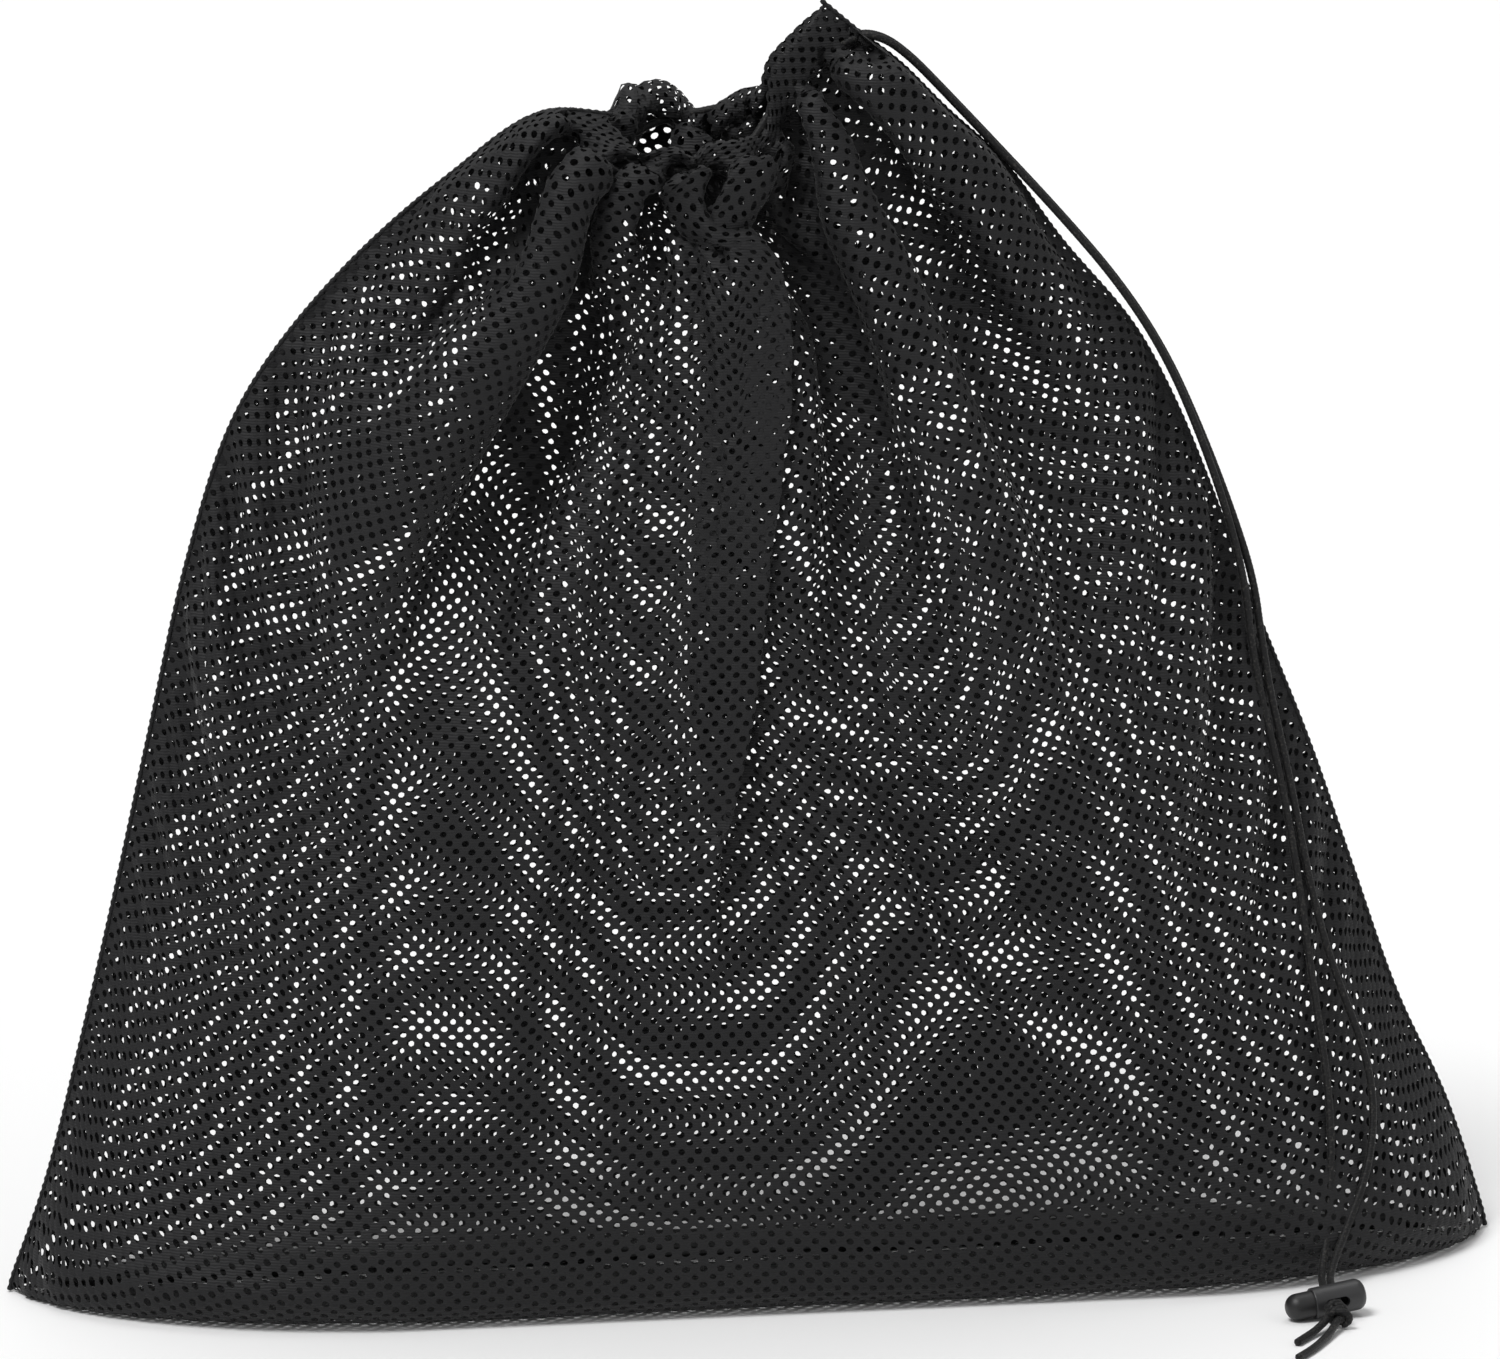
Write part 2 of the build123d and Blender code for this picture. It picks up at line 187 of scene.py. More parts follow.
# Soft lamps: name, azimuth, elevation, strength, spread in degrees
SUNS = [("key", -48, 60, 2.0, 22), ("fill", 55, 30, 0.28, 50), ("back", 175, 68, 0.7, 40)]


# ---------------------------------------------------------------- materials
def nodes_of(name):
    made = bpy.data.materials.new(name)
    made.use_nodes = True
    return made, made.node_tree.nodes, made.node_tree.links, made.node_tree.nodes["Principled BSDF"]


def add_node(nodes, kind, **values):
    node = nodes.new(kind)
    for key, value in values.items():
        if key in node.inputs:
            node.inputs[key].default_value = value
        else:
            setattr(node, key, value)
    return node


def knit_material(name, colour, roughness, yarn=1450.0, bump=0.35, fleck=None):
    """Black polyester knit: fine ribs of yarn, small changes of shade, a soft sheen and perhaps flecks."""
    made, nodes, links, shader = nodes_of(name)
    shader.inputs["Base Color"].default_value = (*colour, 1)
    shader.inputs["Sheen Weight"].default_value = 0.06
    shader.inputs["Sheen Roughness"].default_value = 0.45
    shader.inputs["Specular IOR Level"].default_value = 0.25
    place = add_node(nodes, "ShaderNodeTexCoord")
    blotch = add_node(nodes, "ShaderNodeTexNoise", Scale=14.0, Detail=4.0)
    fibre = add_node(nodes, "ShaderNodeTexNoise", Scale=yarn, Detail=3.0)
    ribs = add_node(nodes, "ShaderNodeTexWave", Scale=yarn * 0.2, Distortion=2.0, bands_direction="Z")
    for texture in (blotch, fibre, ribs):
        links.new(place.outputs["Object"], texture.inputs["Vector"])
    shade = add_node(nodes, "ShaderNodeMapRange")
    shade.inputs["To Min"].default_value = roughness - 0.12
    shade.inputs["To Max"].default_value = roughness + 0.12
    links.new(blotch.outputs["Fac"], shade.inputs["Value"])
    links.new(shade.outputs["Result"], shader.inputs["Roughness"])
    if fleck:
        spots = add_node(nodes, "ShaderNodeTexNoise", Scale=1050.0, Detail=1.0)
        links.new(place.outputs["Object"], spots.inputs["Vector"])
        share = add_node(nodes, "ShaderNodeMapRange")
        share.inputs["From Min"].default_value = 0.56
        share.inputs["From Max"].default_value = 0.70
        links.new(spots.outputs["Fac"], share.inputs["Value"])
        tint = add_node(nodes, "ShaderNodeMix", data_type="RGBA")
        tint.inputs["A"].default_value = (*colour, 1)
        tint.inputs["B"].default_value = (*fleck, 1)
        links.new(share.outputs["Result"], tint.inputs["Factor"])
        links.new(tint.outputs["Result"], shader.inputs["Base Color"])
    both = add_node(nodes, "ShaderNodeMath", operation="ADD")
    links.new(fibre.outputs["Fac"], both.inputs[0])
    links.new(ribs.outputs["Fac"], both.inputs[1])
    relief = add_node(nodes, "ShaderNodeBump", Strength=bump, Distance=0.0004)
    links.new(both.outputs["Value"], relief.inputs["Height"])
    links.new(relief.outputs["Normal"], shader.inputs["Normal"])
    return made


def plastic_material(name, colour, roughness, grain=2600.0):
    """Moulded plastic with a fine spark-eroded grain."""
    made, nodes, links, shader = nodes_of(name)
    place = add_node(nodes, "ShaderNodeTexCoord")
    grain_noise = add_node(nodes, "ShaderNodeTexNoise", Scale=grain, Detail=4.0)
    wear = add_node(nodes, "ShaderNodeTexNoise", Scale=190.0, Detail=5.0)
    links.new(place.outputs["Object"], grain_noise.inputs["Vector"])
    links.new(place.outputs["Object"], wear.inputs["Vector"])
    tint = add_node(nodes, "ShaderNodeMix", data_type="RGBA")
    tint.inputs["A"].default_value = (*colour, 1)
    tint.inputs["B"].default_value = (*[c * 1.5 for c in colour], 1)
    links.new(wear.outputs["Fac"], tint.inputs["Factor"])
    links.new(tint.outputs["Result"], shader.inputs["Base Color"])
    rough = add_node(nodes, "ShaderNodeMapRange")
    rough.inputs["To Min"].default_value = roughness - 0.08
    rough.inputs["To Max"].default_value = roughness + 0.1
    links.new(wear.outputs["Fac"], rough.inputs["Value"])
    links.new(rough.outputs["Result"], shader.inputs["Roughness"])
    relief = add_node(nodes, "ShaderNodeBump", Strength=0.18, Distance=0.0003)
    links.new(grain_noise.outputs["Fac"], relief.inputs["Height"])
    links.new(relief.outputs["Normal"], shader.inputs["Normal"])
    return made


def steel_material(name):
    made, nodes, links, shader = nodes_of(name)
    shader.inputs["Metallic"].default_value = 1.0
    shader.inputs["Base Color"].default_value = (0.55, 0.55, 0.57, 1)
    place = add_node(nodes, "ShaderNodeTexCoord")
    drawn = add_node(nodes, "ShaderNodeTexNoise", Scale=900.0, Detail=3.0)
    links.new(place.outputs["Object"], drawn.inputs["Vector"])
    rough = add_node(nodes, "ShaderNodeMapRange")
    rough.inputs["To Min"].default_value = 0.22
    rough.inputs["To Max"].default_value = 0.42
    links.new(drawn.outputs["Fac"], rough.inputs["Value"])
    links.new(rough.outputs["Result"], shader.inputs["Roughness"])
    return made


def floor_material():
    made, _, _, shader = nodes_of("pale_floor")
    shader.inputs["Base Color"].default_value = (0.93, 0.93, 0.93, 1)
    shader.inputs["Roughness"].default_value = 0.8
    return made


MESH_CLOTH = knit_material("black_mesh", (0.0112, 0.0112, 0.0120), 0.62)
HEM_CLOTH = knit_material("black_mesh_hem", (0.0112, 0.0112, 0.0120), 0.62)
SEAM_CLOTH = knit_material("black_mesh_seam", (0.0095, 0.0095, 0.0102), 0.66)
CORD_BRAID = knit_material("black_cord", (0.0052, 0.0052, 0.0056), 0.55, yarn=2600.0, bump=0.25,
                           fleck=(0.034, 0.032, 0.029))
THREAD = knit_material("black_thread", (0.014, 0.014, 0.015), 0.5, yarn=3000.0, bump=0.2)
BARREL_PLASTIC = plastic_material("barrel_plastic", (0.020, 0.020, 0.021), 0.40)
BUTTON_PLASTIC = plastic_material("button_plastic", (0.0085, 0.0085, 0.0088), 0.46)
SPRING_STEEL = steel_material("spring_steel")


# ---------------------------------------------------------------- helpers
def smooth(rows, at):
    """A smooth curve through rows of key, values, read at the given keys."""
    rows = np.array(rows, float)
    rows = rows[np.argsort(rows[:, 0])]
    keys, values = rows[:, 0], rows[:, 1:]
    steps = np.diff(keys)[:, None]
    slopes = np.diff(values, axis=0) / steps
    tangents = np.vstack([slopes[:1], (slopes[:-1] + slopes[1:]) / 2, slopes[-1:]])
    flat_start, free_end = np.zeros((1, values.shape[1])), np.ones((1, values.shape[1]))
    flat = np.vstack([flat_start, slopes[:-1] * slopes[1:], free_end])
    tangents[flat < 0] = 0
    at = np.clip(np.asarray(at, float), keys[0], keys[-1])
    i = np.clip(np.searchsorted(keys, at, side="right") - 1, 0, len(keys) - 2)
    width = (keys[i + 1] - keys[i])[..., None]
    s = ((at - keys[i]) / (keys[i + 1] - keys[i]))[..., None]
    return (
        (1 + 2 * s) * (1 - s) ** 2 * values[i] + s * (1 - s) ** 2 * width * tangents[i]
        + s * s * (3 - 2 * s) * values[i + 1] + s * s * (s - 1) * width * tangents[i + 1]
    )


def step(low, high, value):
    s = np.clip((value - low) / (high - low), 0, 1)
    return s * s * (3 - 2 * s)


def lengths(points):
    """Distance along a line of points, from its start."""
    runs = np.linalg.norm(np.diff(points, axis=0), axis=1)
    return np.concatenate([[0], np.cumsum(runs)])


def along_line(points, shares):
    """Points at the given shares of a line's length, with any values that go with them."""
    run = lengths(points[:, :3])
    return np.stack([np.interp(np.asarray(shares) * run[-1], run, values) for values in points.T], axis=-1)


def mesh_object(name, points, faces, material):
    """A mesh from points in millimetres."""
    data = bpy.data.meshes.new(name)
    data.from_pydata((np.asarray(points) * MM).tolist(), [], faces)
    data.validate()
    data.polygons.foreach_set("use_smooth", [True] * len(data.polygons))
    data.materials.append(material)
    made = bpy.data.objects.new(name, data)
    bpy.context.scene.collection.objects.link(made)
    return made


def route_line(route):
    """Points read from the smooth NURBS line of a route, in millimetres."""
    curve = bpy.data.curves.new("route", "CURVE")
    curve.dimensions = "3D"
    curve.resolution_u = 24
    spline = curve.splines.new("NURBS")
    spline.points.add(len(route) - 1)
    for point, at in zip(spline.points, route):
        point.co = (*[v * MM for v in at], 1)
    spline.order_u = 3
    spline.use_endpoint_u = True
    holder = bpy.data.objects.new("route", curve)
    line = bpy.data.meshes.new_from_object(holder)
    points = np.array([v.co for v in line.vertices], float) / MM
    bpy.data.objects.remove(holder)
    bpy.data.meshes.remove(line)
    bpy.data.curves.remove(curve)
    return points


def frames_along(points):
    """Two normals at each point of a line that turn as little as they can."""
    ahead = np.gradient(points, axis=0)
    ahead /= np.linalg.norm(ahead, axis=1)[:, None]
    side = np.cross(ahead[0], (0.3, 0.1, 1.0))
    sides = []
    for direction in ahead:
        side = side - direction * side.dot(direction)
        side = side / np.linalg.norm(side)
        sides.append(side)
    sides = np.array(sides)
    return ahead, sides, np.cross(ahead, sides)


def even_line(points, spacing):
    count = max(4, int(round(lengths(points)[-1] / spacing)) + 1)
    return along_line(points, np.linspace(0, 1, count))


def round_tube(name, points, radius, sides, material, relief=None):
    """A closed tube along a line; relief(angle, distance) scales its radius."""
    ahead, across, up = frames_along(points)
    angle = np.linspace(0, 2 * np.pi, sides, endpoint=False)
    run = lengths(points)
    scale = np.ones((len(points), sides)) if relief is None else relief(angle[None, :], run[:, None])
    ring = np.cos(angle)[None, :, None] * across[:, None, :] + np.sin(angle)[None, :, None] * up[:, None, :]
    shell = points[:, None, :] + ring * radius * scale[..., None]
    count = len(points)
    verts = shell.reshape(-1, 3)
    index = np.arange(count * sides).reshape(count, sides)
    nxt = np.roll(index, -1, axis=1)
    faces = np.stack([index[:-1], nxt[:-1], nxt[1:], index[1:]], axis=-1).reshape(-1, 4).tolist()
    push = 0.25 * radius
    verts = np.vstack([verts, points[0] - ahead[0] * push, points[-1] + ahead[-1] * push])
    first, last = len(verts) - 2, len(verts) - 1
    for k in range(sides):
        faces.append([index[0, (k + 1) % sides], index[0, k], first])
        faces.append([index[-1, k], index[-1, (k + 1) % sides], last])
    faces = [[int(v) for v in face] for face in faces]
    return mesh_object(name, verts, faces, material)


def braid(angle, run, carriers=8, lay=16.0):
    """Height of a round braid's plaits: two families of ridges that pass over and under."""
    u = angle / (2 * np.pi) * carriers
    v = run / lay * carriers
    left = np.abs(np.cos(np.pi * (u + v)))
    right = np.abs(np.cos(np.pi * (u - v)))
    over = 0.22 * np.sin(np.pi * u) * np.sin(np.pi * v)
    return 0.86 + 0.17 * np.maximum(left * (0.85 + over), right * (0.85 - over))


# ---------------------------------------------------------------- camera, floor, lights
def studio():
    corners = [(x * FLOOR_HALF, y * FLOOR_HALF, 0) for x, y in ((-1, -1), (1, -1), (1, 1), (-1, 1))]
    floor = mesh_object("floor", corners, [[0, 1, 2, 3]], floor_material())
    camera = bpy.data.objects.new("camera", bpy.data.cameras.new("camera"))
    bpy.context.scene.collection.objects.link(camera)
    a, e = math.radians(CAMERA_AZIMUTH), math.radians(CAMERA_ELEVATION)
    back = Vector((math.sin(a) * math.cos(e), -math.cos(a) * math.cos(e), math.sin(e)))
    camera.location = Vector(CAMERA_AIM) + back * CAMERA_DISTANCE
    camera.rotation_mode = "QUATERNION"
    camera.rotation_quaternion = (-back).to_track_quat("-Z", "Y")
    camera.data.sensor_width = SENSOR_WIDTH
    camera.data.lens = SENSOR_WIDTH * CAMERA_DISTANCE / SEEN_WIDTH
    bpy.context.scene.camera = camera
    world = bpy.data.worlds.new("studio")
    world.use_nodes = True
    world.node_tree.nodes["Background"].inputs["Color"].default_value = (1, 1, 1, 1)
    world.node_tree.nodes["Background"].inputs["Strength"].default_value = WORLD_LIGHT
    bpy.context.scene.world = world
    bpy.context.scene.view_settings.view_transform = "Standard"
    for name, azimuth, elevation, strength, spread in SUNS:
        lamp = bpy.data.lights.new(name, "SUN")
        lamp.energy = strength
        lamp.angle = math.radians(spread)
        holder = bpy.data.objects.new(name, lamp)
        bpy.context.scene.collection.objects.link(holder)
        a, e = math.radians(azimuth), math.radians(elevation)
        towards = Vector((math.sin(a) * math.cos(e), -math.cos(a) * math.cos(e), math.sin(e)))
        holder.rotation_mode = "QUATERNION"
        holder.rotation_quaternion = (-towards).to_track_quat("-Z", "Y")


studio()


# ---------------------------------------------------------------- knot and cord lock
def cord_lock():
    for name, material in (("lock_barrel", BARREL_PLASTIC), ("lock_plunger", BUTTON_PLASTIC)):
        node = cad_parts[name]
        for slot in node.material_slots:
            slot.material = material
    yaw, pitch = math.radians(LOCK_YAW), math.radians(LOCK_PITCH)
    along = np.array([math.cos(yaw) * math.cos(pitch), math.sin(yaw) * math.cos(pitch), math.sin(pitch)])
    across = np.array([-math.sin(yaw), math.cos(yaw), 0])
    up = np.cross(along, across)
    turn = np.linspace(0, 2 * np.pi * SPRING_TURNS, SPRING_POINTS)
    line = (np.array(LOCK_AT) + np.linspace(SPRING_FROM, SPRING_TO, SPRING_POINTS)[:, None] * along
            + SPRING_RADIUS * np.cos(turn)[:, None] * across + SPRING_RADIUS * np.sin(turn)[:, None] * up)
    spring = round_tube("lock_spring_coil", line, WIRE_RADIUS, 8, SPRING_STEEL)
    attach(spring, "cord_lock")
    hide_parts("lock_spring")
    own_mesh(spring)


def knot():
    """The look of a tight overhand knot: three rounds of cord about a short core, not one tied path."""
    centre = np.array(KNOT_AT)
    axis = np.array([0.18, -0.93, -0.32])
    axis /= np.linalg.norm(axis)
    across = np.cross(axis, (0, 0, 1.0))
    across /= np.linalg.norm(across)
    up = np.cross(across, axis)
    made = []
    share = np.linspace(0, 1, 90)
    for k, (phase, tilt, radius) in enumerate(((0.3, 0.5, 3.35), (1.25, 0.5, 3.45), (3.6, -0.65, 3.3))):
        turn = phase + 2 * np.pi * share * 1.12
        reach = radius + 0.35 * np.sin(turn * 2 + k)
        shift = (share - 0.5) * 2.4 + (k - 1) * 2.3 + tilt * np.cos(turn) * 2.2
        line = (centre + shift[:, None] * axis + (reach * np.cos(turn))[:, None] * across
                + (reach * 0.96 * np.sin(turn))[:, None] * up)
        made.append(line)
    core = [centre - axis * 5.6 + across * 1.2, centre - axis * 2 - across * 0.6,
            centre + axis * 2 + across * 0.5, centre + axis * 5.0 - across * 0.8]
    made.append(even_line(np.array(core), 0.6))
    points, faces = [], []
    for line in made:
        piece = round_tube("knot_part", even_line(line, 0.45), CORD / 2 * 0.98, 16, CORD_BRAID, relief=braid)
        start = len(points)
        points += [tuple(v.co / MM) for v in piece.data.vertices]
        faces += [[start + v for v in face.vertices] for face in piece.data.polygons]
        bpy.data.objects.remove(piece)
    whole = mesh_object("overhand_knot", points, faces, CORD_BRAID)
    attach(whole, "bag")
    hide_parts("end_knot")


cord_lock()
knot()


# ---------------------------------------------------------------- cloth surfaces
def dense_seam(seam):
    """A smooth side seam through its points."""
    line = np.array([(x, 0.0, z) for x, z in seam], float)
    run = lengths(line)
    return smooth(np.column_stack([run, line]), np.linspace(0, run[-1], 400))


LEFT_LINE = dense_seam(LEFT_SEAM)
RIGHT_LINE = dense_seam(RIGHT_SEAM)
FINE = 900                         # points across a level before they are spaced evenly
COLUMNS = 321
ROWS = 288
LEVEL_STEPS = 150


def fold_height(folds, x, z):
    """How far all the hanging folds push the cloth out at x, z."""
    total = np.zeros_like(x)
    for rows in folds:
        values = smooth(rows, z)
        low, high = min(r[0] for r in rows), max(r[0] for r in rows)
        fade = step(low - 1, low + 12, z) if rows[-1][2] else 1.0
        at, height, width = values[..., 0], values[..., 1], values[..., 2]
        total += fade * height * np.exp(-(((x - at) / width) ** 2)) * (z < high + 40)
    return total


def level_curve(side, share):
    """One level of a panel's wall, seam to seam, with its folds, at a share of the way up."""
    u = -np.cos(np.linspace(0, np.pi, FINE)) * 0.35 + np.linspace(-1, 1, FINE) * 0.65
    left = along_line(LEFT_LINE, share)
    right = along_line(RIGHT_LINE, share)
    top = smooth(TOP_FRONT if side == FRONT else TOP_BACK, (u + 1) / 2)
    x = (left[0] + right[0]) / 2 + (right[0] - left[0]) / 2 * u
    middle = share * WALL_MIDDLE[side]
    edge = left[2] + (right[2] - left[2]) * (u + 1) / 2
    z = middle + (edge - middle) * np.abs(u) ** 3.0
    section = smooth(SECTIONS, z)
    depth = section[:, 0] if side == FRONT else section[:, 1]
    inside = np.clip(1 - np.abs(u) ** section[:, 2], 0, 1)
    y = side * depth * inside ** section[:, 3]
    body = np.stack([x, y, z], axis=-1)
    near_top = step(0.80, 1.0, share) ** 1.15
    hold = np.abs(u)[:, None] ** 5
    ends = np.where(u[:, None] < 0, body[0] - top[0], body[-1] - top[-1])
    curve = body + near_top * (top - body) + hold * near_top * ends
    # push the folds out along the level's own normal
    ahead = np.gradient(curve, axis=0)
    out = np.stack([ahead[:, 1], -ahead[:, 0], np.zeros(FINE)], axis=-1) * (-side)
    out = out / (np.linalg.norm(out, axis=1)[:, None] + 1e-9)
    out = out * side * np.sign(out[FINE // 2, 1])
    wide = (u + 1) / 2
    ear_part = (step(0.70, 0.80, wide) * step(0.75, 0.92, share))[:, None]
    out = out * (1 - ear_part) + np.array([0, side, 0]) * ear_part
    pinned = step(0, 0.07, 1 - np.abs(u))
    push = fold_height(FRONT_FOLDS if side == FRONT else BACK_FOLDS, curve[:, 0], curve[:, 2])
    in_casing = step(0.925, 0.966, share)
    push = push * (1 - in_casing)
    ring_part = step(0.05, 0.20, wide) * (1 - step(0.70, 0.80, wide))
    for k, (waves, height, start) in enumerate(GATHERS):
        phase = 1.3 * k + (0.7 if side == FRONT else 2.1) + 0.9 * np.sin(5.0 * wide + k)
        push = push + step(start, 0.97, share) * height * np.cos(2 * np.pi * waves * wide + phase) * ring_part
    over_cord = CORD_ROOM + (push + np.sqrt(push ** 2 + 4)) / 2
    push = (push + (over_cord - push) * in_casing) * pinned
    push = (push + (np.minimum(push, CORD_ROOM + 1) - push)
            * (1 - step(0.04, 0.16, wide)) * step(0.8, 0.95, share))
    cloth = curve + out * push[:, None]
    if side == FRONT:
        middle, full = smooth(FRONT_PLEAT, cloth[:, 2]).T
        lap = -np.sin(np.pi * np.clip((cloth[:, 0] - middle) / PLEAT_REACH, -1, 1)) * full
        cloth = cloth + lap[:, None] * np.array([PLEAT_LAP, -PLEAT_DEPTH, 0])
    return np.column_stack([cloth, curve, wide])


def even_columns(curve, count):
    return along_line(curve, np.linspace(0, 1, count))


def panel_grid(side):
    """A panel's surface: rows up the cloth from the bottom seam to the top fold, columns across it."""
    levels = np.array([
        even_columns(level_curve(side, share), COLUMNS) for share in np.linspace(0, 1, LEVEL_STEPS)
    ])
    across = np.linspace(-1, 1, COLUMNS)
    seam = np.stack([BASE_HALF * across, 0 * across, 0 * across], axis=-1)
    seam = np.column_stack([seam, seam, (across + 1) / 2])
    base = seam[None] + np.linspace(0, 1, 24)[:-1, None, None] * (levels[0] - seam)[None]
    columns = np.concatenate([base, levels], axis=0)
    grid = np.empty((ROWS, COLUMNS, 7))
    for k in range(COLUMNS):
        grid[:, k] = along_line(columns[:, k], np.linspace(0, 1, ROWS))
    for _ in range(10):
        grid[1:-1] = grid[1:-1] * 0.5 + (grid[:-2] + grid[2:]) * 0.25
    grid[..., 2] = np.maximum(grid[..., 2], FLOOR_GAP)
    return grid[..., :3], grid[..., 3:]


SIM_COLUMNS = 161
SIM_ROWS = 131
SIM_STEPS = 150
SIM_PASSES = 3                    # rounds of pulling the threads to length in each step
CLOTH_SLACK = 0.90                # how much of the flat width falls into folds
ROW_SLACK = 1.012
KEEP_SPEED = 0.92
SAG = 0.02                        # millimetres a step
PUFF = 0.012
BENDING = [(2, 0.2), (4, 0.15), (8, 0.09)]  # columns apart, and how hard they keep the cloth flat
CLEAR_HALF = 1.5                  # each panel stays this far from the seam plane
FOLD_ROOM = (13.0, 8.0)           # how far folds stand out past the sections, in front and behind
# How x and z shift with depth when the bag is looked at from the front left and above.
# Cloth stays inside the seams' outline as seen that way too.
LEAN = (0.158, 0.2646)
SEAM_PLAY = 0.5                   # how far cloth may pass the outline
SHOULDER = (-180, -55)            # where the left seam bounds the cloth's height too
SEAM_END = 30                     # points at the left seam's top that turn down


def resample(grid, rows, columns):
    """A grid read at another number of rows and columns, by smooth curves both ways."""
    def stretch(values, count):
        n = len(values)
        at = np.linspace(0, n - 1, count)
        i = np.clip(at.astype(int), 0, n - 2)
        f = (at - i).reshape(-1, *[1] * (values.ndim - 1))
        before, start, end, after = (values[np.clip(i + k, 0, n - 1)] for k in (-1, 0, 1, 2))
        return 0.5 * (2 * start + (end - before) * f + (2 * before - 5 * start + 4 * end - after) * f ** 2
                      + (3 * start - before - 3 * end + after) * f ** 3)
    return stretch(stretch(grid, rows).swapaxes(0, 1), columns).swapaxes(0, 1)


def keep_inside(cloth):
    """Keeps both panels inside the seams' outline and near their sections' depth."""
    x, y, z = cloth[..., 0], cloth[..., 1], cloth[..., 2]
    rows = np.array(SECTIONS)
    for side, column in ((0, 1), (1, 2)):
        limit = np.interp(z[side], rows[:, 0], rows[:, column]) + FOLD_ROOM[side]
        y[side] = np.clip(y[side], -limit, limit)
    for lean_x, lean_z in ((0, 0), LEAN):
        seen_x, seen_z = x - lean_x * y, z + lean_z * y
        left = np.interp(seen_z, LEFT_LINE[:, 2][:-SEAM_END], LEFT_LINE[:, 0][:-SEAM_END])
        right = np.interp(seen_z, RIGHT_LINE[:, 2], RIGHT_LINE[:, 0])
        x += np.maximum(left - SEAM_PLAY - seen_x, 0) - np.maximum(seen_x - right - SEAM_PLAY, 0)
        seen_x = x - lean_x * y
        above = z + lean_z * y - np.interp(seen_x, LEFT_LINE[:, 0], LEFT_LINE[:, 2])
        on_shoulder = (seen_x > SHOULDER[0]) & (seen_x < SHOULDER[1])
        z -= np.where(on_shoulder, np.maximum(above - SEAM_PLAY, 0), 0)


